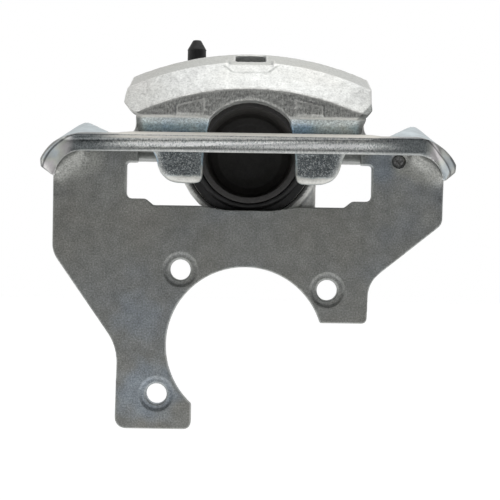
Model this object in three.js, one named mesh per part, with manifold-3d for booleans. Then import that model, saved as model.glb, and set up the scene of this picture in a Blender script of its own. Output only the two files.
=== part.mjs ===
// Floating single-piston disc brake caliper on a press-formed anchor bracket.
// Frame: millimetres, +Z up, +Y inboard (towards the vehicle), X along the disc's travel.
// Origin: wheel axle centre, on the face of the bracket that bolts to the axle flange.
import * as THREE from 'three';
import { mergeVertices } from 'three/addons/utils/BufferGeometryUtils.js';
import Module from 'manifold-3d';

const wasm = await Module();
wasm.setup();

// ---------------------------------------------------------------- driving dimensions
const gap = 0.3;                 // clearance kept between pieces that touch in the real assembly
const sheet = 9;                 // bracket steel thickness; its mounting face is at Y = 0
const caliperX = 1.5;            // caliper centre plane, measured from the axle

// anchor bracket, plate
const hubRadius = 49.7;          // cut-out that clears the wheel hub
const boltCircle = 62.8;         // radius of the three flange bolts
const boltAngles = [130.7, 35.0, 209.1];
const boltHoleRadius = 6.5;      // M12 clearance
const coinRadius = 11;           // shallow coined ring round each bolt hole
const coinFlat = 9.6;
const coinDepth = 0.7;
const plateLeft = -121.6;         // the plate's straight sides
const plateRight = 123.7;
const shoulder = 106;            // height where the sides turn in under the flanges
const windowHalf = 77.2;
const windowFloor = 88;
const tabHalf = 70;              // pad stops narrow the window above tabHeight
const tabHeight = 114.8;
const hornHeight = 127.5;

// anchor bracket, folded flanges and tie bar
const barFront = -88;
const barRear = -74.5;
const barTop = 125.6;
const bendCentre = { x: 96, z: 101.4 };    // centre of the bar's end bends
const bendRadius = barTop - bendCentre.z;
const foldInner = 9;                       // inside radius of the fold from plate to flange
const foldOuter = foldInner + sheet;
const flangeRise = 12.7;                   // how far the flange opens up from bar to fold
const flangeSpread = 8.5;                  // how far its ends open sideways
const tipSpread = 3;                       // extra spread and drop at the flange's tips
const tipDrop = 5.5;
const middleRise = 2.5;                    // extra rise over the middle of the bar
const bendFlatten = 4;                     // flattens the middle of each end bend
const tipSlope = 6;                        // the bar's ends slope back this far to the outside
const tipSwell = { left: 1.6, right: 0.3 }; // the ends' outside bulges this much
const tipRoll = { left: 1.4, right: 3.4 };  // outside corner of each end rolled in
const tipRear = -78;                       // depth at which the rolled corners have run out

// housing
const pistonZ = 122;
const boreRadius = 32.4;
const cylinderRadius = 45.6;
const cylinderFront = 1;
const cylinderRear = 58;
const bridgeHalf = 72.5;
const bridgeOuter = 181.5;
const bridgeInner = 162.5;       // clears the disc's edge
const legFront = -72;
const legRear = -57;
const fingerFace = -66;
const fingerFloor = 99.2;
const fingerOuter = 54.3;
const fingerInner = 27;
const archRadius = 30.5;         // relief between the fingers, over the piston
const archZ = 117.1;
const archSpring = 39.9;         // degrees above level where the round ends
const archThroat = { x: 25.2, z: 130 };
const browFloor = 137.3;

// piston
const pistonRadius = 32;
const pistonFront = -7;
const pistonRear = 45;
const cupRadius = 28.2;

// guides
const guideX = 94;
const guideZ = 117.4;
const earFront = 12;
const earRear = 38;
const earFloor = 117.7;          // underside of the ears' webs
const bossRadius = 12.2;
const bushBore = 9;
const sleeveRadius = 6.5;
const sleeveEnd = 54.7;
const headSeat = 57;             // underside of the bolts' heads
const boltRadius = 4;
const boltClearance = 0.4;
const sleeveBore = boltRadius + boltClearance;
const leftBoltEnd = -5.6;        // blind in the plate
const rightBoltEnd = -8.4;       // shows at the plate's outboard face

// brake hose port, in the boss at the cylinder's lower right
const hosePort = { x: 31, z: 88, front: 2, seat: 44, radius: 4.5 };

// bleeder
const bleeder = { x: -36, y: 42, seat: 150, mouth: 165 };

// ---------------------------------------------------------------- helpers
const rad = THREE.MathUtils.degToRad;

function signedVolume(position, index) {
  const a = new THREE.Vector3();
  const b = new THREE.Vector3();
  const c = new THREE.Vector3();
  let volume = 0;
  for (let i = 0; i < index.length; i += 3) {
    a.fromBufferAttribute(position, index[i]);
    b.fromBufferAttribute(position, index[i + 1]);
    c.fromBufferAttribute(position, index[i + 2]);
    volume += a.dot(b.cross(c)) / 6;
  }
  return volume;
}

// closed solid from a surface, turned the right way out
function solid(geometry) {
  const bare = geometry.index ? geometry.clone() : geometry;
  bare.deleteAttribute('normal');
  bare.deleteAttribute('uv');
  const merged = mergeVertices(bare, 1e-4);
  const corners = Array.from(merged.index.array);
  const index = [];
  for (let i = 0; i < corners.length; i += 3) {
    const [a, b, c] = corners.slice(i, i + 3);
    if (a !== b && b !== c && c !== a) index.push(a, b, c);
  }
  if (signedVolume(merged.attributes.position, index) < 0) index.reverse();
  const triVerts = Uint32Array.from(index);
  const vertProperties = Float32Array.from(merged.attributes.position.array);
  return new wasm.Manifold(new wasm.Mesh({ numProp: 3, vertProperties, triVerts }));
}

function toGeometry(body) {
  const mesh = body.getMesh();
  const geometry = new THREE.BufferGeometry();
  geometry.setAttribute('position', new THREE.BufferAttribute(Float32Array.from(mesh.vertProperties), 3));
  geometry.setIndex(Array.from(mesh.triVerts));
  geometry.computeVertexNormals();
  return geometry;
}

// a shape drawn in front view (x, z), filled from yFront to yRear
function frontPrism(shape, yFront, yRear, curveSegments = 12) {
  const geometry = new THREE.ExtrudeGeometry(shape, {
    depth: yRear - yFront, bevelEnabled: false, curveSegments,
  });
  geometry.rotateX(Math.PI / 2);
  geometry.translate(0, yRear, 0);
  return solid(geometry);
}

// a shape drawn in plan (x, y), filled from zLow to zHigh
function planPrism(shape, zLow, zHigh, curveSegments = 8) {
  const geometry = new THREE.ExtrudeGeometry(shape, {
    depth: zHigh - zLow, bevelEnabled: false, curveSegments,
  });
  geometry.translate(0, 0, zLow);
  return solid(geometry);
}

// a shape drawn in side view (y, z), filled from -half to +half in x
function sidePrism(shape, half, curveSegments = 8) {
  const geometry = new THREE.ExtrudeGeometry(shape, {
    depth: 2 * half, bevelEnabled: false, curveSegments,
  });
  geometry.rotateX(Math.PI / 2);
  geometry.rotateZ(Math.PI / 2);
  geometry.translate(-half, 0, 0);
  return solid(geometry);
}

// a closed (radius, y) outline turned about an axis along Y through (x, z)
function turned(outline, x = 0, z = 0, segments = 40) {
  const points = outline.map(([r, y]) => new THREE.Vector2(r, y));
  points.push(points[0].clone());
  const geometry = new THREE.LatheGeometry(points, segments);
  geometry.translate(x, 0, z);
  return solid(geometry);
}

function rod(radius, yFront, yRear, x, z, segments = 24) {
  const geometry = new THREE.CylinderGeometry(radius, radius, yRear - yFront, segments);
  geometry.translate(x, (yFront + yRear) / 2, z);
  return solid(geometry);
}

function upright(radiusTop, radiusBottom, zLow, zHigh, x, y, segments = 16) {
  const geometry = new THREE.CylinderGeometry(radiusTop, radiusBottom, zHigh - zLow, segments);
  geometry.rotateX(Math.PI / 2);
  geometry.translate(x, y, (zLow + zHigh) / 2);
  return solid(geometry);
}

// an outline with each corner rounded by its own radius: [x, y, radius]
function roundedShape(corners) {
  const shape = new THREE.Shape();
  corners.forEach(([x, y, radius = 0], i) => {
    const corner = new THREE.Vector2(x, y);
    const before = corners[(i + corners.length - 1) % corners.length];
    const after = corners[(i + 1) % corners.length];
    const back = new THREE.Vector2(before[0], before[1]).sub(corner).normalize();
    const ahead = new THREE.Vector2(after[0], after[1]).sub(corner).normalize();
    const half = back.angleTo(ahead) / 2;
    const run = radius / Math.tan(half);
    const start = corner.clone().addScaledVector(back, run);
    const end = corner.clone().addScaledVector(ahead, run);
    if (i === 0) shape.moveTo(start.x, start.y);
    else shape.lineTo(start.x, start.y);
    if (radius > 0) shape.quadraticCurveTo(x, y, end.x, end.y);
  });
  shape.closePath();
  return shape;
}

const mirrored = (corners) => [
  ...corners,
  ...corners.slice().reverse().map(([x, y, radius]) => [-x, y, radius]),
];

// ---------------------------------------------------------------- anchor bracket
function plate() {
  const outline = roundedShape([
    [caliperX + windowHalf, windowFloor + 4, 4],
    [caliperX + 65, windowFloor + 4, 3],
    [caliperX + 60, windowFloor, 3],
    [caliperX + 31, windowFloor, 2],
    [caliperX + 14, windowFloor - 2.6, 8],
    [caliperX - 14, windowFloor - 2.6, 8],
    [caliperX - 31, windowFloor, 2],
    [caliperX - 60, windowFloor, 3],
    [caliperX - 65, windowFloor + 4, 3],
    [caliperX - windowHalf, windowFloor + 4, 4],
    [caliperX - windowHalf, tabHeight, 2],
    [caliperX - tabHalf, tabHeight, 1],
    [caliperX - tabHalf, hornHeight, 2],
    [caliperX - 91, hornHeight, 2],
    [plateLeft, shoulder, 1],
    [plateLeft, 57.7, 18],
    [-80, -1.4, 33],
    [-81, -52.6, 8],
    [-33.1, -52.6, 5],
    [-33.1, -36, 0.5],
    [0, -10, 0],
    [45, 15.2, 0],
    [76.6, 15.2, 4],
    [77.3, 41.3, 20],
    [plateRight - 0.5, 78.3, 8],
    [plateRight, shoulder, 1],
    [caliperX + 91, hornHeight, 2],
    [caliperX + tabHalf, hornHeight, 2],
    [caliperX + tabHalf, tabHeight, 1],
    [caliperX + windowHalf, tabHeight, 2],
  ]);
  let body = frontPrism(outline, -sheet, 0);
  body = body.subtract(rod(hubRadius, -sheet - 1, 1, 0, 0, 72));
  for (const angle of boltAngles) {
    const x = boltCircle * Math.cos(rad(angle));
    const z = boltCircle * Math.sin(rad(angle));
    body = body.subtract(rod(boltHoleRadius, -sheet - 1, 1, x, z));
    body = body.subtract(coinedRing(x, z));
  }
  return body;
}

// shallow recess with a sloped wall, pressed round a bolt hole
function coinedRing(x, z) {
  return turned([
    [0, -sheet - 1],
    [coinRadius, -sheet - 1],
    [coinRadius, -sheet],
    [coinFlat, coinDepth - sheet],
    [0, coinDepth - sheet],
  ], x, z, 32);
}

// The sheet folded forward from the plate's shoulders: its front edge is the tie bar.
// Layers run from the bar's front edge to the plate's rear face; each one is the bar's front
// profile, opened outwards with depth and turned in again through the fold.
function foldedSheet() {
  const half = Math.PI / 2;
  const flangeStart = (tipRear - barFront) / (-foldOuter - barFront);
  const endAngle = 0.38;                      // the outside stops short of level at the tips
  const tipCorners = [[21.6, 4.9], [16.2, 0.6]];   // blunt tips, from the bend's centre
  const inner = bendRadius - sheet - 0.8;
  const { x, z } = bendCentre;
  const shape = new THREE.Shape();
  shape.moveTo(-x, z + bendRadius);
  shape.lineTo(x, z + bendRadius);
  shape.absarc(x, z, bendRadius, half, endAngle, true);
  tipCorners.forEach(([dx, dz]) => shape.lineTo(x + dx, z + dz));
  shape.lineTo(x + inner, z);
  shape.absarc(x, z, inner, 0, half, false);
  shape.lineTo(-x, z + inner);
  shape.absarc(-x, z, inner, half, Math.PI, false);
  tipCorners.slice().reverse().forEach(([dx, dz]) => shape.lineTo(-x - dx, z + dz));
  shape.lineTo(-x - bendRadius * Math.cos(endAngle), z + bendRadius * Math.sin(endAngle));
  shape.absarc(-x, z, bendRadius, Math.PI - endAngle, half, true);

  const foldSteps = 6;
  const layers = foldSteps + 2;
  const geometry = new THREE.ExtrudeGeometry(shape, {
    depth: layers, steps: layers, bevelEnabled: false, curveSegments: 9,
  });
  const position = geometry.attributes.position;
  for (let i = 0; i < position.count; i += 1) {
    const px = position.getX(i);
    const pz = position.getY(i);
    const layer = Math.round(position.getZ(i));
    const turn = rad(90) * Math.max(layer - 2, 0) / foldSteps;
    let y = -foldOuter * (1 - Math.sin(turn));
    if (layer === 0) y = barFront;
    if (layer === 1) y = tipRear;
    const side = Math.sign(px);
    const reach = Math.max(Math.abs(px) - x, 0);
    const angle = Math.min(Math.max(Math.atan2(pz - z, reach), 0), half);
    const outer = Math.hypot(reach, pz - z) > (bendRadius + inner) / 2;
    const tip = Math.min(Math.max((rad(72) - angle) / rad(22), 0), 1);
    const rolled = layer === 0 && outer ? tip : 0;
    const hand = side > 0 ? 'right' : 'left';
    const swell = (outer ? tip * tipSwell[hand] : 0) - rolled * tipRoll[hand];
    y += rolled * tipSlope;
    const depth = (y - barFront) / (-foldOuter - barFront);
    const rise = depth < flangeStart ? depth * 0.3 : (depth - flangeStart * 0.7) / (1 - flangeStart * 0.7);
    const tail = Math.max(rad(20) - angle, 0) / rad(20);
    const spreadX = flangeSpread * (1 - Math.sin(angle)) + tipSpread * tail;
    const flatten = bendFlatten * Math.sin(2 * angle) ** 2;
    const lift = middleRise * Math.sin(angle) ** 4;
    const spreadZ = flangeRise + lift - flatten - tipDrop * tail;
    const tuck = outer
      ? foldOuter * (1 - Math.cos(turn))
      : Math.min(foldInner, foldTuck(y)) + (y > -sheet ? 3 : 0);
    const lean = rad(53) + rad(37) * Math.max(angle - rad(60), 0) / rad(30);
    position.setXYZ(
      i,
      caliperX + px + side * (spreadX * depth - tuck * Math.cos(lean) + swell * Math.cos(angle)),
      y,
      pz + spreadZ * rise - tuck * Math.sin(lean) + swell * Math.sin(angle),
    );
  }
  return solid(geometry);
}

// how far the fold's inside surface has turned in at depth y
function foldTuck(y) {
  const into = Math.min(Math.max(y + foldOuter, 0), foldInner);
  return foldInner - Math.sqrt(foldInner ** 2 - into ** 2);
}

// plan outline of the opening that leaves only the bar between the two flanges
function flangeOpening() {
  const shape = new THREE.Shape();
  const left = -104.8;
  const right = 103.2;
  const point = (x, y) => [caliperX + x, y];
  shape.moveTo(...point(right - 5, 2));
  shape.lineTo(...point(right, -foldOuter));
  shape.lineTo(...point(81.5, -70));
  shape.quadraticCurveTo(...point(79.7, barRear), ...point(75, barRear));
  shape.lineTo(...point(-75, barRear));
  shape.quadraticCurveTo(...point(-79.7, barRear), ...point(-81.5, -70));
  shape.lineTo(...point(left, -foldOuter));
  shape.lineTo(...point(left + 5, 2));
  return planPrism(shape, 80, 170);
}

function anchorBracket() {
  const tap = boltRadius + boltClearance;
  return plate()
    .add(foldedSheet().subtract(flangeOpening()))
    .subtract(rod(tap, -sheet - 1, 1, caliperX + guideX, guideZ))
    .subtract(rod(tap, leftBoltEnd - boltClearance, 1, caliperX - guideX, guideZ));
}

// ---------------------------------------------------------------- housing
// cross-section of the bridge, (radius from the axle, y), turned about the axle
function bridge() {
  const ring = turned([
    [154.5, legFront],
    [172.5, -52],
    [bridgeOuter, -22],
    [bridgeOuter, -2],
    [172, 16],
    [bridgeInner, 16],
    [bridgeInner, legRear],
    [154.5, legRear],
  ], 0, 0, 120);
  const front = roundedShape(mirrored([
    [bridgeHalf, 200, 0],
    [bridgeHalf, 166, 3],
    [bridgeHalf + 0.5, 146.5, 3],
    [66.5, 138.5, 0],
    [60, 120, 0],
  ]));
  return ring.intersect(frontPrism(front, legFront - 5, 30));
}

function leg() {
  const shape = new THREE.Shape();
  const browAngle = Math.asin(64.5 / 154.5);
  shape.absarc(0, 0, 154.5, Math.PI / 2 + browAngle, Math.PI / 2 - browAngle, true);
  shape.lineTo(66.3, 137.5);
  shape.lineTo(66.3, 134);
  shape.quadraticCurveTo(66, 127, 57.5, 119);
  shape.quadraticCurveTo(fingerOuter + 1, 116, fingerOuter, 112);
  shape.absarc(fingerOuter - 13, fingerFloor + 13, 13, 0, -Math.PI / 2, true);
  shape.lineTo(fingerInner + 4, fingerFloor);
  shape.quadraticCurveTo(fingerInner, fingerFloor, fingerInner, fingerFloor + 4);
  shape.lineTo(fingerInner, archZ);
  shape.lineTo(archThroat.x, archThroat.z);
  shape.absarc(0, archZ, archRadius, rad(archSpring), rad(180 - archSpring), false);
  shape.lineTo(-archThroat.x, archThroat.z);
  shape.lineTo(-fingerInner, archZ);
  shape.lineTo(-fingerInner, fingerFloor + 4);
  shape.quadraticCurveTo(-fingerInner, fingerFloor, -fingerInner - 4, fingerFloor);
  shape.absarc(-fingerOuter + 13, fingerFloor + 13, 13, -Math.PI / 2, -Math.PI, true);
  shape.quadraticCurveTo(-fingerOuter - 1, 116, -57.5, 119);
  shape.quadraticCurveTo(-66, 127, -66.3, 134);
  shape.lineTo(-66.3, 137.5);
  return frontPrism(shape, legFront, legRear, 16);
}

// hollow under the brow that lets the fingers pass behind the tie bar
function browCove() {
  const shape = new THREE.Shape();
  shape.moveTo(legFront - 10, browFloor);
  shape.lineTo(legFront, browFloor);
  shape.quadraticCurveTo(fingerFace, browFloor - 2.5, fingerFace, browFloor - 9.5);
  shape.lineTo(fingerFace, 80);
  shape.lineTo(legFront - 10, 80);
  return sidePrism(shape, 90);
}

// inboard wall between bridge and cylinder
function cheek() {
  const top = 168;
  const reach = Math.asin(bridgeHalf / top);
  const shape = new THREE.Shape();
  shape.absarc(0, 0, top, Math.PI / 2 + reach, Math.PI / 2 - reach, true);
  shape.lineTo(bridgeHalf, 140);
  shape.quadraticCurveTo(bridgeHalf, 134, 78, 133);
  shape.lineTo(78, earFloor);
  shape.lineTo(58, earFloor);
  shape.lineTo(42, 106);
  shape.lineTo(-42, 106);
  shape.lineTo(-58, earFloor);
  shape.lineTo(-78, earFloor);
  shape.lineTo(-78, 133);
  shape.quadraticCurveTo(-bridgeHalf, 134, -bridgeHalf, 140);
  return frontPrism(shape, cylinderFront, 16);
}

function ears() {
  const web = roundedShape(mirrored([
    [60, 133, 0],
    [84, 131.5, 6],
    [101, 125, 4],
    [103, 110, 6],
    [91, 105.8, 4],
    [80, earFloor, 2],
    [60, earFloor, 2],
    [42, 104, 0],
  ]));
  let body = frontPrism(web, earFront, 34);
  for (const side of [-1, 1]) {
    body = body.add(rod(bossRadius, earFront, earRear, side * guideX, guideZ));
  }
  return body;
}

function cylinder() {
  return turned([
    [0, cylinderFront],
    [cylinderRadius, cylinderFront],
    [cylinderRadius, 48],
    [cylinderRadius - 3, 54],
    [cylinderRadius - 9, cylinderRear],
    [0, cylinderRear],
  ], 0, pistonZ, 40);
}

function bore() {
  return turned([
    [0, cylinderFront - 1],
    [40.8, cylinderFront - 1],
    [40.8, 6.5],
    [boreRadius, 6.5],
    [boreRadius, 18],
    [36, 18],
    [36, 22.4],
    [boreRadius, 22.4],
    [boreRadius, 48],
    [0, 48],
  ], 0, pistonZ, 40);
}

// lower right boss that takes the brake hose
function hoseBoss() {
  const outline = roundedShape([
    [10, 79, 4],
    [42.4, 79, 7],
    [42.4, 108, 4],
    [10, 108, 0],
  ]);
  return frontPrism(outline, hosePort.front, hosePort.seat);
}

function bridgeWindow() {
  const slot = roundedShape([
    [-9, -43, 3],
    [9, -43, 3],
    [9, -25, 3],
    [-9, -25, 3],
  ]);
  const relief = new THREE.Shape();
  relief.moveTo(-64, 195);
  relief.lineTo(-64, 166.2);
  relief.lineTo(-58.8, 166.2);
  relief.lineTo(-52, 170.9);
  relief.lineTo(-24, 180.8);
  relief.lineTo(-24, 195);
  return planPrism(slot, 150, 200).add(sidePrism(relief, 13.8));
}

function caliperHousing() {
  let body = bridge().add(leg()).subtract(browCove());
  body = body.add(cheek()).add(ears()).add(cylinder()).add(hoseBoss());
  body = body.add(upright(8.5, 8.5, 138, bleeder.mouth, bleeder.x, bleeder.y));
  body = body.subtract(bore()).subtract(bridgeWindow());
  for (const side of [-1, 1]) {
    body = body.subtract(rod(bushBore, earFront - 1, earRear + 1, side * guideX, guideZ));
  }
  const { x, z, seat, radius } = hosePort;
  body = body.subtract(rod(radius, seat - 16, seat + 1, x, z, 24));
  body = body.subtract(rod(1.6, 30, 46, x - 11, z + 12, 12));
  return body.subtract(upright(4.4, 4.4, bleeder.seat, bleeder.mouth + 1, bleeder.x, bleeder.y));
}

// ---------------------------------------------------------------- piston group
function piston() {
  return turned([
    [0, pistonRear],
    [pistonRadius - 2, pistonRear],
    [pistonRadius, pistonRear - 3],
    [pistonRadius, pistonFront + 6],
    [pistonRadius - 1, pistonFront + 5],
    [pistonRadius - 1, pistonFront + 2.4],
    [pistonRadius, pistonFront + 1.8],
    [pistonRadius - 0.6, pistonFront],
    [cupRadius + 0.6, pistonFront],
    [cupRadius, pistonFront + 0.8],
    [cupRadius - 1.2, pistonFront + 34],
    [cupRadius - 5, pistonFront + 38],
    [0, pistonFront + 38],
  ], 0, pistonZ, 40);
}

function pistonSeal() {
  return turned([
    [pistonRadius + 0.3, 18.3],
    [35.7, 18.3],
    [35.7, 22.1],
    [pistonRadius + 0.3, 22.1],
  ], 0, pistonZ, 40);
}

function dustBoot() {
  return turned([
    [40.4, 3.1],
    [40.4, 6.2],
    [36.8, 6.2],
    [35.3, 4.6],
    [35.3, -0.6],
    [33.6, -2.2],
    [pistonRadius + 0.3, -2.2],
    [pistonRadius + 0.3, -4.6],
    [34.4, -4.8],
    [36.4, -3.2],
    [36.4, 1.6],
    [37.2, 3.1],
  ], 0, pistonZ, 40);
}

function bootRing() {
  return turned([
    [37.6, 1.2],
    [40.5, 1.2],
    [40.5, 2.8],
    [37.6, 2.8],
  ], 0, pistonZ, 40);
}

// ---------------------------------------------------------------- guides
function guideBolt(x, end) {
  const shank = turned([
    [0, end],
    [boltRadius - 1.3, end],
    [boltRadius, end + 1.3],
    [boltRadius, headSeat],
    [0, headSeat],
  ], x, guideZ, 24);
  const head = rod(7.5, headSeat, headSeat + 7.5, x, guideZ, 6);
  const flange = rod(8.4, headSeat, headSeat + 1.6, x, guideZ, 24);
  return shank.add(head).add(flange);
}

function ringAt(x, inner, outer, yFront, yRear, segments = 24) {
  return turned([
    [inner, yFront],
    [outer, yFront],
    [outer, yRear],
    [inner, yRear],
  ], x, guideZ, segments);
}

// rubber bushing pressed into one end of an ear, with a lip outside it
function guideBushing(x, mouth, inward) {
  return turned([
    [sleeveRadius + gap, mouth - inward * 2],
    [11, mouth - inward * 2],
    [11, mouth - inward * gap],
    [bushBore - gap, mouth - inward * gap],
    [bushBore - gap, mouth + inward * 12],
    [sleeveRadius + gap, mouth + inward * 12],
  ], x, guideZ, 24);
}

// rubber bellows between the bracket and the ear's front bushing
function guideBoot(x) {
  const outline = [[sleeveRadius + gap, gap]];
  const folds = 3;
  const length = earFront - 2.3 - gap;
  for (let fold = 0; fold < folds; fold += 1) {
    const start = gap + length * fold / folds;
    outline.push([8.4, start], [10.4, start + length / folds / 2]);
  }
  outline.push([8.4, gap + length], [sleeveRadius + gap, gap + length]);
  return turned(outline, x, guideZ, 24);
}

// ---------------------------------------------------------------- bleeder
function bleederScrew() {
  const { x, y, seat, mouth } = bleeder;
  return upright(4, 1.6, seat + gap, seat + 3, x, y, 16)
    .add(upright(4, 4, seat + 3, mouth + 3, x, y, 16))
    .add(upright(6, 6, mouth + 1.2, mouth + 8, x, y, 6))
    .add(upright(3.1, 3.1, mouth + 8, mouth + 20, x, y, 16))
    .add(upright(3.0, 3.8, mouth + 20, mouth + 23, x, y, 16));
}

// rubber cap pushed over the bleeder's nipple
function bleederCap() {
  const { x, y, mouth } = bleeder;
  const low = mouth + 8.6;
  const skirt = upright(6.2, 6.5, low, mouth + 28, x, y, 24);
  const cone = upright(2.5, 6.2, mouth + 28, mouth + 34.4, x, y, 24);
  const hollow = upright(4.2, 4.2, low - 1, mouth + 24, x, y, 16);
  return skirt.add(cone).subtract(hollow);
}

// ---------------------------------------------------------------- assembly
const finishes = {
  plated: { color: 0x8a8c88, roughness: 0.45, metalness: 0.9 },
  casting: { color: 0xb9bbb8, roughness: 0.6, metalness: 0.7 },
  steel: { color: 0x9a9a96, roughness: 0.4, metalness: 1 },
  phenolic: { color: 0x2c2a29, roughness: 0.6, metalness: 0 },
  rubber: { color: 0x171717, roughness: 0.8, metalness: 0 },
};

const group = new THREE.Group();
const caliper = new THREE.Group();
caliper.position.x = caliperX;
group.add(caliper);

function add(parent, name, body, finish) {
  const material = new THREE.MeshStandardMaterial(finishes[finish]);
  const mesh = new THREE.Mesh(toGeometry(body), material);
  mesh.name = name;
  parent.add(mesh);
}

add(group, 'anchor_bracket', anchorBracket(), 'plated');
add(caliper, 'caliper_housing', caliperHousing(), 'casting');
add(caliper, 'piston', piston(), 'phenolic');
add(caliper, 'piston_seal', pistonSeal(), 'rubber');
add(caliper, 'dust_boot', dustBoot(), 'rubber');
add(caliper, 'boot_ring', bootRing(), 'steel');
add(caliper, 'bleeder_screw', bleederScrew(), 'steel');
add(caliper, 'bleeder_cap', bleederCap(), 'rubber');
const guides = [['left', -guideX, leftBoltEnd], ['right', guideX, rightBoltEnd]];
for (const [name, x, boltEnd] of guides) {
  add(caliper, `guide_bolt_${name}`, guideBolt(x, boltEnd), 'steel');
  add(caliper, `guide_washer_${name}`, ringAt(x, sleeveBore, 9, sleeveEnd + gap, headSeat - gap), 'steel');
  add(caliper, `guide_sleeve_${name}`, ringAt(x, sleeveBore, sleeveRadius, gap, sleeveEnd), 'steel');
  add(caliper, `guide_boot_${name}`, guideBoot(x), 'rubber');
  add(caliper, `guide_bushing_${name}_front`, guideBushing(x, earFront, 1), 'rubber');
  add(caliper, `guide_bushing_${name}_rear`, guideBushing(x, earRear, -1), 'rubber');
}

export default group;
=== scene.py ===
import math

import bmesh
import bpy
import numpy as np
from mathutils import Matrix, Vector, noise


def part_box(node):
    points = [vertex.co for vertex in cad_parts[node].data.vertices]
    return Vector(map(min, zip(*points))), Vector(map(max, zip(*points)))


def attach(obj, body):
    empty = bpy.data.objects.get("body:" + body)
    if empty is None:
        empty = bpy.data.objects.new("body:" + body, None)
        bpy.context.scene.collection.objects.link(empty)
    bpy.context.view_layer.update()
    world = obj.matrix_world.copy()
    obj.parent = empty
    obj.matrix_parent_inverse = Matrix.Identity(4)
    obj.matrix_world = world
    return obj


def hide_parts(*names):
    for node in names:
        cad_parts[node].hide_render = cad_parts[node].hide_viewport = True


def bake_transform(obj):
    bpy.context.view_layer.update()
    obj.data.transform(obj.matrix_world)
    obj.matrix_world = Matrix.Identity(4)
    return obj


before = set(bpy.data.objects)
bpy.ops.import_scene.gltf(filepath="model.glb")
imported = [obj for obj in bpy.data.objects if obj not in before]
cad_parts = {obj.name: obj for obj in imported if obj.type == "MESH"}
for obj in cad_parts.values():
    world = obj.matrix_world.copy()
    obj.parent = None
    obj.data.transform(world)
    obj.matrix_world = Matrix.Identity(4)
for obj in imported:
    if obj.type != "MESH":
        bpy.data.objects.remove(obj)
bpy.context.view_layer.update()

MM = 0.001

# ------------------------------------------------------------------ driving places, from the frame
housing_low, housing_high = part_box("caliper_housing")
piston_low, piston_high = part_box("piston")
CALIPER_X = (housing_low.x + housing_high.x) / 2
PISTON_AXIS = Vector((CALIPER_X, 0, (piston_low.z + piston_high.z) / 2))

# ------------------------------------------------------------------ driving sizes, in millimetres
BAR_FRONT = -88.0                # front edge of the tie bar
TIP_REAR = -78.0                 # how far back the bar's sloping ends reach
BEND_X, BEND_Z = 96.0, 101.4     # centre of the tie bar's end bends, from the caliper's centre plane
BEND_OUTER, BEND_INNER = 24.2, 14.4
BROW_FRONT = -72.0               # front face of the bridge
BROW_FLOOR = 137.3               # its lower edge, where the cove starts
PAD_INNER, PAD_OUTER = 26.0, 43.0    # the two raised pads on the bridge's front
PAD_TOP, PAD_SLOPE = 148.6, 0.24
ARCH_Z = 117.0                   # centre of the arch between the fingers


# ------------------------------------------------------------------ mesh helpers
def link(name, mesh):
    piece = bpy.data.objects.new(name, mesh)
    bpy.context.scene.collection.objects.link(piece)
    return piece


def apply_modifiers(piece):
    graph = bpy.context.evaluated_depsgraph_get()
    mesh = bpy.data.meshes.new_from_object(piece.evaluated_get(graph))
    piece.modifiers.clear()
    piece.data = mesh


def fused(name, node, voxel, passes):
    """A fine, evenly meshed copy of a CAD node with its edges rolled, as rubbed or cast ones are."""
    piece = link(name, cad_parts[node].data.copy())
    remesh = piece.modifiers.new("fine", "REMESH")
    remesh.mode = "VOXEL"
    remesh.voxel_size = voxel * MM
    remesh.adaptivity = 0
    roll = piece.modifiers.new("roll", "SMOOTH")
    roll.factor = 0.5
    roll.iterations = passes
    apply_modifiers(piece)
    return piece


def points(piece):
    """The piece's points in millimetres, with x measured from the caliper's centre plane."""
    co = np.empty(len(piece.data.vertices) * 3)
    piece.data.vertices.foreach_get("co", co)
    co = co.reshape(-1, 3) / MM
    co[:, 0] -= CALIPER_X / MM
    return co


def move_points(piece, co):
    co = co.copy()
    co[:, 0] += CALIPER_X / MM
    piece.data.vertices.foreach_set("co", (co * MM).ravel())
    piece.data.update()


def normals(piece):
    found = np.empty(len(piece.data.vertices) * 3)
    piece.data.vertex_normals.foreach_get("vector", found)
    return found.reshape(-1, 3)


def neighbours_mean(piece, values):
    edges = np.empty(len(piece.data.edges) * 2, int)
    piece.data.edges.foreach_get("vertices", edges)
    a, b = edges.reshape(-1, 2).T
    total = np.zeros_like(values)
    np.add.at(total, a, values[b])
    np.add.at(total, b, values[a])
    count = np.bincount(a, minlength=len(values)) + np.bincount(b, minlength=len(values))
    return total / np.maximum(count, 1)[:, None]


def soften(piece, amount, passes):
    """Smooths the points by amount, a value from 0 to 1 for each point."""
    co = points(piece)
    for _ in range(passes):
        co += (neighbours_mean(piece, co) - co) * amount[:, None] * 0.6
    move_points(piece, co)


def proud(piece, full=0.12):
    """How far each point stands out from its neighbours, from -1 in a hollow to 1 on an edge."""
    co = points(piece)
    mean = co
    for _ in range(3):
        mean = neighbours_mean(piece, mean)
    return np.clip(((co - mean) * normals(piece)).sum(1) / full, -1, 1)


def lumps(co, scale):
    """Smooth noise from -1 to 1 at each point, in lumps of about scale millimetres."""
    return np.array([noise.noise(Vector(p)) for p in co / scale])


def keep(piece, name, values):
    attribute = piece.data.attributes.new(name, "FLOAT", "POINT")
    attribute.data.foreach_set("value", values.astype(np.float32))


def ramp(values, low, high):
    t = np.clip((values - low) / (high - low), 0, 1)
    return t * t * (3 - 2 * t)


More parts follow.
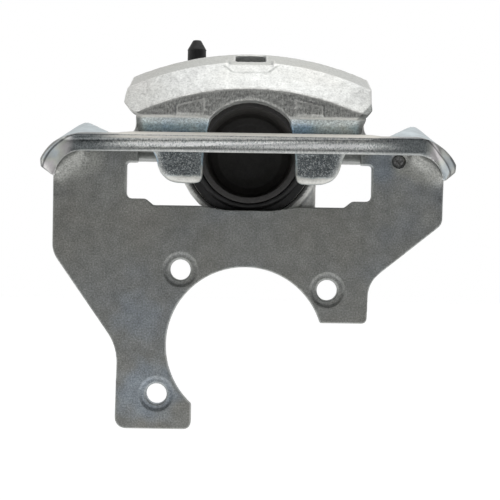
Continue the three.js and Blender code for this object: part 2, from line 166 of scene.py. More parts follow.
def skinned(name, rings, closed_round):
    """A solid skinned over rings of points; closed_round joins the last ring to the first."""
    mesh = bpy.data.meshes.new(name)
    shape = bmesh.new()
    loops = [[shape.verts.new(point) for point in ring] for ring in rings]
    count = len(loops[0])
    pairs = list(zip(loops, loops[1:]))
    if closed_round:
        pairs.append((loops[-1], loops[0]))
    for this, after in pairs:
        for i in range(count):
            j = (i + 1) % count
            shape.faces.new((this[i], this[j], after[j], after[i]))
    bmesh.ops.remove_doubles(shape, verts=shape.verts, dist=2e-6)
    bmesh.ops.dissolve_degenerate(shape, edges=shape.edges, dist=2e-6)
    bmesh.ops.recalc_face_normals(shape, faces=shape.faces)
    shape.to_mesh(mesh)
    shape.free()
    return link(name, mesh)


def hexagon(turn, half_width):
    """Distance from the centre to a hexagon's side in direction turn."""
    sixth = math.pi / 3
    return half_width / math.cos((turn + sixth / 2) % sixth - sixth / 2)


def turned(name, outline, centre, along="Y", segments=96, flats=None):
    """A closed (radius, height) outline in millimetres, turned about an axis through centre.

    flats=(half_width, low, high) cuts the heights from low to high to a hexagon."""
    rings = []
    for step in range(segments):
        turn = 2 * math.pi * step / segments
        ring = []
        for radius, height in outline:
            if flats and flats[1] <= height <= flats[2]:
                radius = min(radius, hexagon(turn, flats[0]))
            u, v = radius * math.cos(turn) * MM, radius * math.sin(turn) * MM
            if along == "Y":
                ring.append(Vector((centre.x + u, height * MM, centre.z + v)))
            else:
                ring.append(Vector((centre.x + u, centre.y + v, height * MM)))
        rings.append(ring)
    return skinned(name, rings, closed_round=True)


def rounded(outline, radius, steps=4):
    """The outline with each of its corners rounded by up to radius."""
    result = []
    for i, corner in enumerate(outline):
        here = Vector(corner)
        before = Vector(outline[i - 1]) - here
        after = Vector(outline[(i + 1) % len(outline)]) - here
        if here.x < 0.01 or before.length < 1e-6 or after.length < 1e-6:
            result.append(corner)
            continue
        run = min(radius, before.length * 0.45, after.length * 0.45)
        start, end = here + before.normalized() * run, here + after.normalized() * run
        for step in range(steps + 1):
            t = step / steps
            point = start * (1 - t) ** 2 + here * 2 * t * (1 - t) + end * t ** 2
            result.append((point.x, point.y))
    return result


def dress(piece, material, slot, *nodes, angle=40):
    piece.data.materials.clear()
    piece.data.materials.append(material)
    for face in piece.data.polygons:
        face.use_smooth = True
    piece.data.set_sharp_from_angle(angle=math.radians(angle))
    if nodes:
        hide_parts(*nodes)
    return piece


# ------------------------------------------------------------------ materials
class Finish:
    """A short way to write one material's node tree."""

    def __init__(self, name, **values):
        self.material = bpy.data.materials.new(name)
        self.material.use_nodes = True
        self.tree = self.material.node_tree
        self.shader = self.tree.nodes["Principled BSDF"]
        for key, value in values.items():
            self.shader.inputs[key.replace("_", " ")].default_value = value
        self.place = self.tree.nodes.new("ShaderNodeTexCoord").outputs["Object"]

    def wire(self, value, socket):
        if hasattr(value, "is_output"):
            self.tree.links.new(value, socket)
        elif isinstance(value, tuple):
            socket.default_value = (*value, 1)
        else:
            socket.default_value = value

    def noise(self, scale, detail=4, rough=0.5, stretch=(1, 1, 1)):
        mapping = self.tree.nodes.new("ShaderNodeMapping")
        mapping.inputs["Scale"].default_value = stretch
        self.wire(self.place, mapping.inputs["Vector"])
        node = self.tree.nodes.new("ShaderNodeTexNoise")
        node.inputs["Scale"].default_value = scale
        node.inputs["Detail"].default_value = detail
        node.inputs["Roughness"].default_value = rough
        self.wire(mapping.outputs["Vector"], node.inputs["Vector"])
        return node.outputs["Fac"]

    def ramp(self, source, *stops):
        node = self.tree.nodes.new("ShaderNodeValToRGB")
        elements = node.color_ramp.elements
        while len(elements) < len(stops):
            elements.new(0.5)
        for element, (place, colour) in zip(elements, stops):
            element.position = place
            element.color = (*colour, 1) if isinstance(colour, tuple) else (colour,) * 3 + (1,)
        self.wire(source, node.inputs["Fac"])
        return node.outputs["Color"]

    def mix(self, factor, first, second, mode="MIX"):
        node = self.tree.nodes.new("ShaderNodeMix")
        node.data_type = "RGBA"
        node.blend_type = mode
        for key, value in (("Factor", factor), ("A", first), ("B", second)):
            self.wire(value, next(s for s in node.inputs if s.name == key and s.enabled))
        return next(s for s in node.outputs if s.enabled)

    def remap(self, source, low, high, to_low=0.0, to_high=1.0):
        node = self.tree.nodes.new("ShaderNodeMapRange")
        values = (("From Min", low), ("From Max", high), ("To Min", to_low), ("To Max", to_high))
        for key, value in values:
            node.inputs[key].default_value = value
        self.wire(source, node.inputs["Value"])
        return node.outputs["Result"]

    def axis(self, index):
        node = self.tree.nodes.new("ShaderNodeSeparateXYZ")
        self.wire(self.place, node.inputs["Vector"])
        return node.outputs[index]

    def kept(self, name):
        node = self.tree.nodes.new("ShaderNodeAttribute")
        node.attribute_name = name
        return node.outputs["Fac"]

    def bump(self, height, strength, distance, under=None):
        node = self.tree.nodes.new("ShaderNodeBump")
        node.inputs["Strength"].default_value = strength
        node.inputs["Distance"].default_value = distance * MM
        self.wire(height, node.inputs["Height"])
        if under is not None:
            self.wire(under, node.inputs["Normal"])
        return node.outputs["Normal"]

    def done(self, colour=None, roughness=None, normal=None):
        for key, value in (("Base Color", colour), ("Roughness", roughness), ("Normal", normal)):
            if value is not None:
                self.wire(value, self.shader.inputs[key])
        return self.material


def plated_sheet():
    """Zinc plate on pickled sheet: a fine matt grain under drifting blue, green and pale yellow tints.
    The tie bar's front is the sheared edge of the sheet: torn, and burnished along its middle."""
    n = Finish("plated_sheet", Metallic=1.0)
    tint = n.ramp(
        n.noise(15, 3, 0.5),
        (0.33, (0.275, 0.292, 0.305)), (0.45, (0.290, 0.298, 0.290)),
        (0.57, (0.298, 0.300, 0.282)), (0.68, (0.312, 0.306, 0.286)),
    )
    tint = n.mix(n.kept("blued"), tint, (0.34, 0.40, 0.47))
    # pale yellow plating tint patches, plus a painted highlight on the curve inside the fold
    tint = n.mix(n.kept("straw"), tint, (0.40, 0.405, 0.385))
    grain = n.ramp(n.noise(1000, 3, 0.7), (0.30, 0.55), (0.50, 0.90), (0.70, 1.30))
    cloud = n.ramp(n.noise(140, 4, 0.6), (0.30, 0.86), (0.70, 1.14))
    colour = n.mix(1.0, n.mix(1.0, tint, grain, "MULTIPLY"), cloud, "MULTIPLY")

    band = n.ramp(
        n.kept("across"),
        (0.0, 0.40), (0.13, 0.58), (0.22, 0.34), (0.36, 1.00), (0.50, 1.40), (0.66, 0.80),
        (0.80, 0.42), (0.92, 0.36), (1.0, 0.42),
    )
    torn = n.ramp(
        n.noise(1000, 3, 0.85, (1, 1, 0.7)),
        (0.36, (0.38, 0.40, 0.41)), (0.50, (0.86, 0.89, 0.88)), (0.62, (1.22, 1.22, 1.18)),
    )
    burnished = n.mix(1.0, torn, band, "MULTIPLY")
    rough_ends = n.mix(1.0, torn, (0.235, 0.25, 0.26), "MULTIPLY")
    sheared = n.mix(n.kept("middle"), rough_ends, burnished)
    # painted reflection: the bar's tips are painted pale and tinted, standing in for the bright
    # surroundings their turned faces mirror
    sheen = n.ramp(
        n.noise(75, 2, 0.4),
        (0.34, (0.68, 0.74, 0.77)), (0.47, (0.78, 0.80, 0.75)), (0.60, (0.84, 0.81, 0.82)),
    )
    sheared = n.mix(n.kept("tips"), sheared, n.mix(1.0, cloud, sheen, "MULTIPLY"))
    colour = n.mix(n.kept("sheared"), colour, sheared)
    # painted light: the flange's upward-facing outer surface is painted paler blue-grey than the
    # plate, for the light it catches
    colour = n.mix(n.kept("roof"), colour, n.mix(1.0, cloud, (0.50, 0.555, 0.575), "MULTIPLY"))
    # painted light: the bar's upward-facing top is painted warm white, where the light from above
    # falls on it
    colour = n.mix(n.kept("topside"), colour, (0.86, 0.84, 0.79))
    # painted highlight on standing edges and painted shade in hollows, both driven by the proud relief
    colour = n.mix(n.remap(n.kept("proud"), 0.2, 0.9, 0, 0.40), colour, (0.60, 0.62, 0.60))
    colour = n.mix(n.remap(n.kept("proud"), -0.2, -0.9, 0, 0.6), colour, (0.12, 0.13, 0.15))
    # painted shade from the tip_shade mask: near black on the bar's top line, tip band and corner, and
    # under the flanges
    colour = n.mix(n.kept("shaded"), colour, (0.05, 0.055, 0.06))
    rough = n.remap(n.noise(60, 3), 0.3, 0.7, 0.42, 0.54)
    rough = n.mix(n.kept("topside"), rough, (0.85, 0.85, 0.85))
    fine = n.bump(n.noise(1100, 3, 0.6), 0.25, 0.3)
    return n.done(colour, rough, n.bump(n.noise(150, 3, 0.5), 0.05, 1.0, fine))


def plated_casting():
    """Zinc plate on a shot-blasted iron casting: pale and pitted, bluer in the cove, with painted
    light along the cove's top, and darker on the coarse mould skin of its front, where it is darkened
    further as painted shade."""
    n = Finish("plated_casting", Metallic=1.0)
    tint = n.ramp(
        n.noise(24, 3, 0.55),
        (0.34, (0.605, 0.612, 0.60)), (0.46, (0.615, 0.622, 0.605)),
        (0.60, (0.62, 0.622, 0.60)), (0.70, (0.615, 0.610, 0.59)),
    )
    grain = n.ramp(n.noise(800, 4, 0.7), (0.32, 0.72), (0.50, 0.96), (0.66, 1.06))
    skin = n.mix(1.0, tint, grain, "MULTIPLY")

    coarse = n.ramp(
        n.noise(1000, 3, 0.8, (1, 1, 0.5)),
        (0.32, 0.42), (0.50, 0.88), (0.66, 1.45),
    )
    # the brow's front: coarse mould skin, also painted darker as painted shade of a vertical face
    # mirroring the dark room in front
    front = n.mix(1.0, coarse, (0.42, 0.425, 0.41), "MULTIPLY")
    skin = n.mix(n.kept("front"), skin, front)
    # painted shade: upward faces high on the casting are painted darker to temper the light falling on
    # them from above
    skin = n.mix(n.kept("upper"), skin, n.mix(1.0, skin, (0.84, 0.84, 0.82), "MULTIPLY"))

    drift = n.ramp(
        n.noise(38, 3, 0.6),
        (0.38, (0.30, 0.44, 0.57)), (0.52, (0.44, 0.55, 0.58)), (0.68, (0.58, 0.62, 0.58)),
    )
    # painted light: the cove is painted paler towards its top, where it turns up towards the light
    drift = n.mix(n.remap(n.axis(2), 132.5 * MM, 137.5 * MM), drift, (0.80, 0.82, 0.80))
    cove = n.mix(1.0, drift, n.ramp(n.noise(800, 4, 0.7), (0.32, 0.5), (0.66, 1.3)), "MULTIPLY")
    skin = n.mix(n.kept("cove"), skin, cove)
    specks = n.ramp(
        n.noise(1250, 3, 0.85),
        (0.40, (0.09, 0.10, 0.105)), (0.54, (0.18, 0.20, 0.21)), (0.66, (0.66, 0.69, 0.68)),
    )
    skin = n.mix(n.kept("fingers"), skin, specks)
    # painted reflection: the fingers' lower lip edges are painted pale, standing in for the white
    # floor they face
    skin = n.mix(n.kept("lips"), skin, n.mix(1.0, grain, (0.56, 0.56, 0.53), "MULTIPLY"))

    # painted highlight on standing edges and on the raised pads' top and inner edges, and painted
    # shade in hollows
    skin = n.mix(n.remap(n.kept("proud"), 0.2, 0.9, 0, 0.6), skin, (0.80, 0.80, 0.77))
    skin = n.mix(n.remap(n.kept("proud"), -0.15, -0.9, 0, 0.6), skin, (0.16, 0.17, 0.18))
    skin = n.mix(n.kept("machined"), skin, (0.15, 0.15, 0.145))
    # painted shade: dark grain under overhangs, in recesses and in the slot
    skin = n.mix(n.kept("sheltered"), skin, n.mix(1.0, grain, (0.24, 0.25, 0.24), "MULTIPLY"))
    rough = n.remap(n.noise(140, 3), 0.3, 0.7, 0.40, 0.54)
    pits = n.bump(n.noise(760, 4, 0.65), 0.42, 0.55)
    return n.done(skin, rough, n.bump(n.noise(170, 3, 0.5), 0.22, 1.5, pits))


def machined_steel():
    """Zinc-plated fasteners and sleeves with fine turning lines; bolt ends at the front are darker."""
    n = Finish("machined_steel", Metallic=1.0)
    tint = n.ramp(n.noise(90, 2), (0.35, (0.50, 0.52, 0.54)), (0.65, (0.56, 0.54, 0.48)))
    lines = n.noise(500, 2, 0.5, (0.05, 3, 0.05))
    colour = n.mix(0.25, tint, n.ramp(lines, (0.3, 0.3), (0.7, 0.8)))
    sooty = n.ramp(n.noise(900, 3, 0.8), (0.36, 0.07), (0.50, 0.15), (0.64, 0.34))
    # the bolts' front ends are darker
    colour = n.mix(n.remap(n.axis(1), -7.6 * MM, -8.2 * MM), colour, sooty)
    rough = n.remap(n.noise(300, 3), 0.3, 0.7, 0.26, 0.42)
    return n.done(colour, rough, n.bump(lines, 0.12, 0.4))


def moulded_phenolic():
    """Mineral-filled phenolic: dark brown-grey with a faint speckle and a ground rim."""
    n = Finish("moulded_phenolic", IOR=1.45)
    body = n.ramp(n.noise(700, 4, 0.7), (0.35, (0.017, 0.0165, 0.015)), (0.70, (0.028, 0.026, 0.0235)))
    rim = n.ramp(n.noise(900, 3, 0.7), (0.35, (0.025, 0.024, 0.023)), (0.70, (0.044, 0.042, 0.041)))
    # painted light: the cup's wall near the mouth is painted lighter than its floor, to even out the
    # shade inside the cup
    wall = n.remap(n.axis(1), 27 * MM, 20 * MM)
    body = n.mix(wall, body, (0.065, 0.062, 0.058))
    ground = n.remap(n.axis(1), -5.6 * MM, -6.4 * MM)
    rough = n.remap(n.noise(200, 3), 0.3, 0.7, 0.45, 0.62)
    return n.done(n.mix(ground, body, rim), rough, n.bump(n.noise(1200, 3), 0.15, 0.3))


def black_rubber():
    """Moulded rubber: near black with a soft sheen and a faint dusty bloom."""
    n = Finish("black_rubber", IOR=1.45)
    bloom = n.ramp(n.noise(160, 4, 0.6), (0.40, (0.006, 0.006, 0.006)), (0.75, (0.015, 0.015, 0.016)))
    rough = n.remap(n.noise(350, 3), 0.3, 0.7, 0.46, 0.62)
    return n.done(bloom, rough, n.bump(n.noise(1400, 3), 0.18, 0.3))


SHEET = plated_sheet()
CASTING = plated_casting()
STEEL = machined_steel()
PHENOLIC = moulded_phenolic()
RUBBER = black_rubber()


# ------------------------------------------------------------------ studio
def white_sweep():
    """Surroundings: a white sweep behind, above and below, and a dark room behind the camera."""
    world = bpy.data.worlds.new("studio")
    world.use_nodes = True
    tree = world.node_tree
    coords = tree.nodes.new("ShaderNodeTexCoord")
    split = tree.nodes.new("ShaderNodeSeparateXYZ")
    room = tree.nodes.new("ShaderNodeMapRange")
    path = tree.nodes.new("ShaderNodeLightPath")
    pick = tree.nodes.new("ShaderNodeMix")
    tree.links.new(coords.outputs["Generated"], split.inputs["Vector"])
    tree.links.new(split.outputs["Y"], room.inputs["Value"])
    room.interpolation_type = "SMOOTHSTEP"
    for key, value in (("From Min", -0.75), ("From Max", 0.25), ("To Min", 0.10), ("To Max", 0.84)):
        room.inputs[key].default_value = value
    tree.links.new(path.outputs["Is Camera Ray"], pick.inputs["Factor"])
    tree.links.new(room.outputs["Result"], pick.inputs["A"])
    pick.inputs["B"].default_value = 1.0
    background = tree.nodes["Background"]
    background.inputs["Color"].default_value = (1, 1, 1, 1)
    tree.links.new(pick.outputs["Result"], background.inputs["Strength"])
    bpy.context.scene.world = world


def floor():
    mesh = bpy.data.meshes.new("floor")
    half, low = 12, -0.42
    corners = [(-half, -half, low), (half, -half, low), (half, half, low), (-half, half, low)]
    mesh.from_pydata(corners, [], [(0, 1, 2, 3)])
    piece = link("floor", mesh)
    white = (1, 1, 1, 1)
    pale = Finish("pale_floor", Roughness=0.9, Base_Color=(0.8, 0.8, 0.8, 1),
                  Emission_Color=white, Emission_Strength=0.56)
    piece.data.materials.append(pale.material)


def softbox(name, place, size, power):
    light = bpy.data.lights.new(name, "AREA")
    light.shape = "RECTANGLE"
    light.size, light.size_y = size
    light.energy = power
    lamp = bpy.data.objects.new(name, light)
    lamp.location = place
    aim = Vector((0, -0.03, 0.09)) - Vector(place)
    lamp.rotation_euler = aim.to_track_quat("-Z", "Y").to_euler()
    bpy.context.scene.collection.objects.link(lamp)


def camera():
    data = bpy.data.cameras.new("camera")
    data.lens = 97.5
    data.sensor_width = 36
    eye = bpy.data.objects.new("camera", data)
    eye.location = (2.7 * MM, -859 * MM, 60.6 * MM)
    eye.rotation_euler = (math.radians(90), math.radians(-0.84), 0)
    bpy.context.scene.collection.objects.link(eye)
    bpy.context.scene.camera = eye


bpy.context.scene.view_settings.view_transform = "Standard"
white_sweep()
floor()
softbox("top_softbox", (0.05, -0.05, 0.95), (1.3, 0.8), 4)
camera()


# ------------------------------------------------------------------ anchor bracket
def bar_place(co):
    """How far each point lies across the tie bar, from 0 at its inner edge to 1 at its outer one."""
    reach = np.maximum(np.abs(co[:, 0]) - BEND_X, 0)
    radius = np.hypot(reach, np.maximum(co[:, 2] - BEND_Z, 0))
    return (radius - BEND_INNER) / (BEND_OUTER - BEND_INNER)


def ease_bracket(piece):
    """Blends the fold into the plate below it, and evens out the sloping faces of the bar's tips."""
    co, facing = points(piece), normals(piece)
    under = ramp(facing[:, 2], 0.35, 0.15) * ramp(facing[:, 1], 0.3, 0.1)
    fold = ramp(co[:, 1], -26, -18) * ramp(co[:, 1], -8.2, -8.9) * ramp(co[:, 2], 92, 95)
    soften(piece, under * fold * ramp(np.abs(co[:, 0]), 84, 88), 60)

    co, facing = points(piece), normals(piece)
    x, y, across = np.abs(co[:, 0]), co[:, 1], bar_place(co)
    tip_face = ramp(-facing[:, 1], 0.4, 0.7) * ramp(y, TIP_REAR + 2, TIP_REAR) * ramp(x, 98, 102)
    soften(piece, tip_face * ramp(across, 0.02, 0.10) * ramp(across, 0.98, 0.90), 40)


def tip_shade(co, facing):
    """Painted shade: a dark line along the bar's top that runs down the tips, the band outside it on
    the right, the right tip's corner, and the shaded underside of the folded flanges."""
    x, y, across = np.abs(co[:, 0]), co[:, 1], bar_place(co)
    turn, right = ramp(x, 99, 110), co[:, 0] > 0
    seam = 1 - np.where(right, 0.42, 0.11) * turn
    seam_line = 0.85 * ramp(np.abs(across - seam), 0.09, 0.03)
    outer_band = 0.40 * right * turn * ramp(across, seam, seam + 0.06)
    corner = 0.85 * right * ramp(x, 113, 117) * ramp(across, 0.86, 0.98)
    front = ramp(x, 70, 84) * ramp(y, TIP_REAR + 2, TIP_REAR - 1)
    underside = 0.5 * ramp(facing[:, 2], -0.1, -0.4) * ramp(y, -30, -40) * ramp(y, -86, -82)
    dark = np.maximum.reduce([seam_line, outer_band, corner]) * front
    return np.maximum(dark, underside * ramp(x, 88, 97)) * (0.85 + 0.15 * lumps(co, 4))


def mark_bracket(piece, co, facing):
    """Keeps the masks that the sheet's material reads."""
    x, y, z, across = np.abs(co[:, 0]), co[:, 1], co[:, 2], bar_place(co)
    front = ramp(-facing[:, 1], 0.45, 0.7) * ramp(y, TIP_REAR, TIP_REAR - 2)
    edges = proud(piece) * (1 - 0.9 * ramp(across, 0.6, 0.8) * ramp(y, TIP_REAR, TIP_REAR - 2))
    # upward-facing outer surface of the flange, painted paler as painted light
    roof = ramp(facing[:, 2], 0.3, 0.6) * ramp(y, -74, -70) * ramp(y, -10, -14)
    level = ramp(np.abs(facing[:, 2]), 0.5, 0.8)
    # the bar's upward-facing top, which the material paints warm white as painted light
    topside = level * ramp(z, 122, 124) * ramp(y, -70, -74) * ramp(x, 92, 70)
    # painted highlight on the curve inside the fold, carried with the pale yellow tint patches
    fillet = ramp(across, -1.05, -0.45) * ramp(y, -30, -24) * ramp(x, 88, 97) * ramp(z, 98, 109)
    leg_blue = tinted(co, (-62, -30), 26) * 0.6 + tinted(co, (-70, 17), 20) * 0.3
    # proud relief; the material paints it as highlight on edges and as shade in hollows
    keep(piece, "proud", np.where(edges < 0, edges * (1 - front), edges))
    keep(piece, "sheared", front)
    keep(piece, "across", np.clip(across, 0, 1))
    keep(piece, "middle", ramp(x, 92, 58))
    # the bar's tips, which the material paints pale as painted reflection
    keep(piece, "tips", ramp(x, 99, 107))
    keep(piece, "shaded", tip_shade(co, facing))
    keep(piece, "roof", roof)
    keep(piece, "topside", topside)
    keep(piece, "blued", leg_blue + tinted(co, (82, 114), 13) * 0.4)
    keep(piece, "straw", tinted(co, (100, 92), 22) * 0.25 + tinted(co, (-78, 96), 22) * 0.25 + fillet)
    return front


def anchor_bracket():
    piece = fused("bracket", "anchor_bracket", 0.6, 3)
    ease_bracket(piece)
    co, facing = points(piece), normals(piece)
    front = mark_bracket(piece, co, facing)
    x, y = np.abs(co[:, 0]), co[:, 1]
    torn = 0.09 * lumps(co * (1, 1, 0.6), 1.0) * front * ramp(x, 107, 99)
    co += facing * torn[:, None]
    top = ramp(facing[:, 2], 0.5, 0.8) * ramp(y, BAR_FRONT + 1, -74) * ramp(y, -70, -73)
    co[:, 2] += 1.4 * top * ramp(x, 86, 66)
    move_points(piece, co)
    dress(piece, SHEET, "plated_steel", "anchor_bracket", angle=60)
    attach(piece, "bracket")


def tinted(co, centre, reach):
    """A soft patch on the plate round centre, uneven at its edge."""
    away = np.hypot(co[:, 0] - centre[0], co[:, 2] - centre[1])
    return ramp(away + 0.35 * reach * lumps(co, 9), reach, reach * 0.3)


# ------------------------------------------------------------------ caliper housing
def pad_marks(co):
    """Two raised pads left on the bridge's front by the mould, mirrored about the centre."""
    x, z = np.abs(co[:, 0]), co[:, 2]
    top = PAD_TOP - (x - PAD_INNER) * PAD_SLOPE
    inside = np.minimum.reduce([x - PAD_INNER, PAD_OUTER - x, top - z, (z - 138) * 0.3])
    return ramp(inside, -0.2, 0.6)


def mark_lines(co):
    """Painted highlight on the top and inner edges of the raised pads, where light from above catches
    them, broken up along their length.
    """
    x, z = np.abs(co[:, 0]), co[:, 2]
    top = PAD_TOP - (x - PAD_INNER) * PAD_SLOPE
    far = 9
    past_ends = ramp(x, PAD_OUTER - 1, PAD_OUTER + 1) + ramp(x, PAD_INNER, PAD_INNER - 1.5)
    past_side = ramp(z, top, top + 1.5) + ramp(z, 141.5, 140)
    near_top = np.abs(top - z) + far * past_ends
    near_inner = np.abs(x - PAD_INNER) + far * past_side
    return ramp(np.minimum(near_top, near_inner), 0.9, 0.3) * ramp(lumps(co, 1.2), -0.5, 0.1)


def sheltered_places(co):
    """Painted shade, dark: under the windows' tops, at the cove's ends,
    along the pocket's sides and foot, on the right end of the brow, and in the slot."""
    x, y, z = co.T
    reach = np.abs(x)
    walls = ramp(z, 124, 121) * ramp(reach, 50, 54) * ramp(y, -58, -54)
    cove_ends = ramp(reach, 61.5, 65) * ramp(z, 139, 136) * ramp(y, -40, -50)
    pocket_sides = 0.6 * ramp(np.abs(reach - 10.5 - (z - 165.4) * 1.1), 1.3, 0.5)
    pocket_sides *= ramp(z, 165.0, 165.8) * ramp(z, 171.0, 169.5)
    pocket_foot = 0.3 * ramp(np.abs(z - 165.4), 0.9, 0.3) * ramp(reach, 11.5, 10.5)
    pocket = np.maximum(pocket_sides, pocket_foot) * ramp(y, -50, -54)
    brow_end = 0.9 * ramp(x - 64 - (z - 139.3) * 0.873, -0.3, 0.5) * ramp(z, 149.5, 147.5)
    brow_end *= ramp(y, -44, -50) * ramp(z, 136, 138)
    slot = ramp(reach, 10, 9.2) * ramp(y, -43.8, -43) * ramp(y, -24, -25) * ramp(z, 181, 180)
    return np.maximum.reduce([walls, cove_ends, pocket, brow_end, 0.7 * slot])


def brow_face(co):
    return ramp(co[:, 1], BROW_FRONT + 1.2, BROW_FRONT + 0.5) * ramp(
        co[:, 2], BROW_FLOOR + 0.4, BROW_FLOOR + 1.6)


def shape_housing(piece):
    """Rolls the finger tips, raises the pads and leans the brow's ends as the casting's do."""
    co = points(piece)
    soften(piece, ramp(co[:, 1], -52, -57) * ramp(co[:, 2], 121, 112), 60)
    co = points(piece)
    face = brow_face(co)
    co[:, 1] -= 0.45 * pad_marks(co) * face
    x, y, z = co.T
    left_end = ramp(-x, 62, 70) * ramp(z, 136, 141)
    right_end = ramp(x, 62, 70) * ramp(z, 143, 148)
    co[:, 0] -= 1.3 * ramp(y, -46, -58) * (left_end + right_end)
    co[:, 0] += 1.6 * ramp(y, -46, -54) * ramp(x, 58, 64) * ramp(z, 133, 138) * ramp(z, 147, 142)
    move_points(piece, co)
    return face


def mark_housing(piece, face):
    """Keeps the masks that the casting's material reads, and returns the machined one."""
    co, facing = points(piece), normals(piece)
    x, y, z = co.T
    arch = ramp(np.hypot(x, z - ARCH_Z), 37, 34)
    lower = ramp(z, BROW_FLOOR - 3, BROW_FLOOR - 22) * ramp(y, -60, -64)
    ragged = z + 0.9 * lumps(co, 2.5)
    flat = ramp(-facing[:, 1], 0.60, 0.80) * ramp(ragged, 102.6, 104.2)
    bore = np.hypot(x, z - PISTON_AXIS.z / MM) < 43
    inside = bore & (y > 0.2) & (y < 50)
    pad_seat = (np.abs(y + 57) < 0.5) & (z < 150)
    # proud relief plus the pads' lit edge lines, painted by the material as highlights and shade
    keep(piece, "proud", proud(piece) * (1 - 0.8 * arch) + 1.2 * mark_lines(co) * face)
    # the brow's front face, coarse and painted darker, partly as painted shade
    keep(piece, "front", face)
    # upward faces high on the casting, painted darker as painted shade
    keep(piece, "upper", ramp(facing[:, 2], 0.80, 0.95) * ramp(z, 150, 155))
    keep(piece, "cove", ramp(z, BROW_FLOOR + 0.4, BROW_FLOOR - 1) * ramp(y, -56, -60))
    keep(piece, "fingers", lower * flat)
    # down-facing lip edges of the fingers, painted pale as painted reflection
    keep(piece, "lips", lower * (1 - flat) * ramp(-facing[:, 1], 0.05, 0.35) * ramp(z, 112, 108))
    keep(piece, "sheltered", sheltered_places(co))
    keep(piece, "machined", (inside | pad_seat).astype(float))
    return inside


def caliper_housing():
    piece = fused("housing", "caliper_housing", 0.7, 4)
    face = shape_housing(piece)
    inside = mark_housing(piece, face)
    co = points(piece)
    skin = 0.13 * lumps(co, 3.0) + 0.07 * lumps(co + 50, 1.3)
    co += normals(piece) * (skin * (1 - inside))[:, None]
    move_points(piece, co)
    dress(piece, CASTING, "plated_casting", "caliper_housing", angle=60)
    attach(piece, "caliper")


anchor_bracket()
caliper_housing()


# ------------------------------------------------------------------ piston group
def piston():
    front, rear = -7.0, 45.0
    outline = [
        (0, rear), (30, rear), (32, rear - 3), (32, front + 6), (31, front + 5), (31, front + 2.4),
        (32, front + 1.8), (32, front), (28.4, front), (28.2, front + 1.2), (27.2, front + 30),
        (25.5, front + 34.5), (21, front + 37.4), (15, front + 38), (0, front + 38),
    ]
    piece = turned("piston_cup", rounded(outline, 0.6), PISTON_AXIS, segments=160)
    dress(piece, PHENOLIC, "phenolic", "piston")
    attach(piece, "piston")


def piston_seal():
    outline = [(32.3, 18.3), (35.7, 18.3), (35.7, 22.1), (32.3, 22.1)]
    piece = turned("square_seal", rounded(outline, 0.4), PISTON_AXIS, segments=128)
    dress(piece, RUBBER, "black_rubber", "piston_seal")
    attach(piece, "caliper")


def dust_boot():
    outline = [
        (40.4, 3.1), (40.4, 6.2), (36.8, 6.2), (35.5, 4.6), (35.3, 2.0), (35.4, -0.4), (34.4, -1.7),
        (33.2, -1.2), (32.3, -2.2), (32.3, -4.6), (34.2, -4.8), (35.2, -4.2), (36.0, -3.0),
        (36.0, -0.6), (36.2, 0.3), (40.3, 0.4), (40.4, 1.1), (37.4, 1.1), (37.2, 3.1),
    ]
    piece = turned("boot", rounded(outline, 0.8), PISTON_AXIS, segments=128)
    dress(piece, RUBBER, "black_rubber", "dust_boot")
    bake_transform(piece)


def boot_ring():
    outline = [(37.6, 1.2), (40.5, 1.2), (40.5, 2.8), (39.9, 2.8), (39.9, 1.8), (37.6, 1.8)]
    piece = turned("pressed_ring", rounded(outline, 0.25), PISTON_AXIS, segments=128)
    dress(piece, STEEL, "steel_hardware", "boot_ring")
    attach(piece, "caliper")


piston()
piston_seal()
dust_boot()
boot_ring()


# ------------------------------------------------------------------ guides
def guide_centre(side):
    low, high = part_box(f"guide_bolt_{side}")
    return (low + high) / 2


def guide_bolt(side):
    node = f"guide_bolt_{side}"
    low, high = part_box(node)
    end, tip = low.y / MM, high.y / MM
    seat = tip - 7.5
    shank = [(0, end), (2.7, end), (4, end + 1.3)]
    pitch, y = 1.25, end + 2
    while y < end + 14:
        shank += [(3.45, y), (4, y + pitch / 2)]
        y += pitch
    head = [
        (4, y), (4, seat), (8.4, seat), (8.4, seat + 1.2), (7.6, seat + 1.8), (7.5, seat + 1.9),
        (7.5, tip - 1.0), (6.6, tip), (4.2, tip), (3.9, tip - 0.5), (0, tip - 0.5),
    ]
    piece = turned(
        f"bolt_{side}", shank + head, guide_centre(side), segments=96, flats=(6.5, seat + 1.85, tip),
    )
    dress(piece, STEEL, "steel_hardware", node, angle=28)
    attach(piece, "bracket")


def guide_ring(side, part, material, slot, body, radius):
    """A washer, sleeve or bushing: the outline is the CAD ring's, with its corners rounded."""
    node = f"guide_{part}_{side}"
    low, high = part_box(node)
    centre = guide_centre(side)
    outer = (high.x - low.x) / 2 / MM
    front, rear = low.y / MM, high.y / MM
    outline = [(4.4, front), (outer, front), (outer, rear), (4.4, rear)]
    piece = turned(f"{part}_{side}", rounded(outline, radius), centre, segments=96)
    dress(piece, material, slot, node)
    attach(piece, body)


def guide_bushing(side, end):
    node = f"guide_bushing_{side}_{end}"
    low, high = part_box(node)
    lip, tail = (low.y / MM, high.y / MM) if end == "front" else (high.y / MM, low.y / MM)
    inward = 1 if end == "front" else -1
    outline = [
        (6.8, lip), (10.3, lip), (11, lip + inward * 0.7), (11, lip + inward * 1.7),
        (8.7, lip + inward * 1.8), (8.7, tail - inward * 0.6), (8.2, tail), (7.3, tail),
    ]
    for groove in (9, 6.4, 3.8):
        outline += [(7.3, lip + inward * groove), (6.8, lip + inward * (groove - 1))]
    piece = turned(f"bushing_{side}_{end}", rounded(outline, 0.35), guide_centre(side), segments=96)
    dress(piece, RUBBER, "black_rubber", node)
    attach(piece, "caliper")


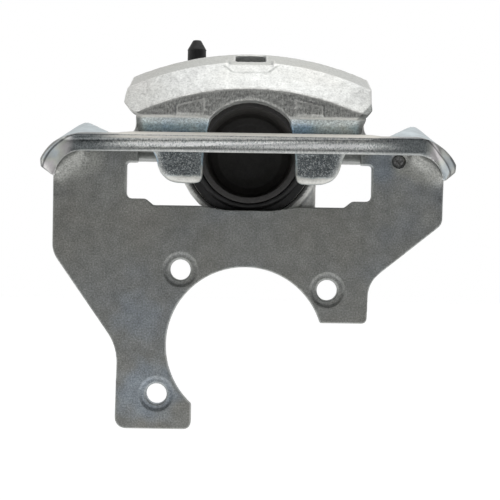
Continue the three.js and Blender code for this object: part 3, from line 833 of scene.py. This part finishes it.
def guide_boot(side):
    node = f"guide_boot_{side}"
    low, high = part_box(node)
    front, rear = low.y / MM, high.y / MM
    folds = 3
    step = (rear - front) / folds
    outer, inner = [], []
    for fold in range(folds):
        start = front + fold * step
        outer += [
            (8.2, start), (9.9, start + step * 0.3), (10.4, start + step * 0.5),
            (9.9, start + step * 0.7),
        ]
        inner += [(6.85, start + step * 0.1), (8.4, start + step * 0.5), (6.85, start + step * 0.9)]
    outline = outer + [(8.2, rear), (6.85, rear)] + inner[::-1] + [(6.85, front)]
    piece = turned(f"bellows_{side}", rounded(outline, 0.3), guide_centre(side), segments=96)
    dress(piece, RUBBER, "black_rubber", node)
    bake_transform(piece)


for side in ("left", "right"):
    guide_bolt(side)
    guide_ring(side, "washer", STEEL, "steel_hardware", "bracket", 0.25)
    guide_ring(side, "sleeve", STEEL, "steel_hardware", "bracket", 0.5)
    guide_boot(side)
    guide_bushing(side, "front")
    guide_bushing(side, "rear")


# ------------------------------------------------------------------ bleeder
def bleeder_screw():
    low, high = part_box("bleeder_screw")
    centre = (low + high) / 2
    bottom, top = low.z / MM, high.z / MM
    outline = [(0, bottom), (1.6, bottom), (4, bottom + 2.7)]
    z = bottom + 3.5
    while z < bottom + 15:
        outline += [(3.5, z), (4, z + 0.5)]
        z += 1.0
    hex_low, hex_high = 166.2, 173.0
    outline += [
        (4, hex_low), (5.4, hex_low), (6, hex_low + 0.6), (6, hex_high - 0.6), (5.2, hex_high),
        (3.1, hex_high), (2.7, hex_high + 1.5), (2.7, hex_high + 4), (3.1, hex_high + 5.5),
        (3.1, top - 3), (3.8, top - 2.8), (3.1, top - 0.3), (2.6, top), (1.1, top), (1.0, top - 4),
        (0, top - 4),
    ]
    piece = turned("bleeder", outline, centre, along="Z", segments=96, flats=(5.2, hex_low, hex_high))
    dress(piece, STEEL, "steel_hardware", "bleeder_screw", angle=28)
    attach(piece, "bleeder")


def bleeder_cap():
    low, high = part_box("bleeder_cap")
    centre = (low + high) / 2
    bottom, top = low.z / MM, high.z / MM
    outline = [
        (4.2, bottom), (6.5, bottom), (6.5, bottom + 1.4), (6.3, bottom + 1.7), (6.1, top - 7.0),
        (6.3, top - 6.6), (6.15, top - 6.2), (2.8, top - 0.3), (2.4, top), (0, top),
        (0, top - 10.4), (4.2, top - 10.4),
    ]
    piece = turned("cap", rounded(outline, 0.35), centre, along="Z", segments=96)
    dress(piece, RUBBER, "black_rubber", "bleeder_cap")
    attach(piece, "bleeder_cap")


bleeder_screw()
bleeder_cap()
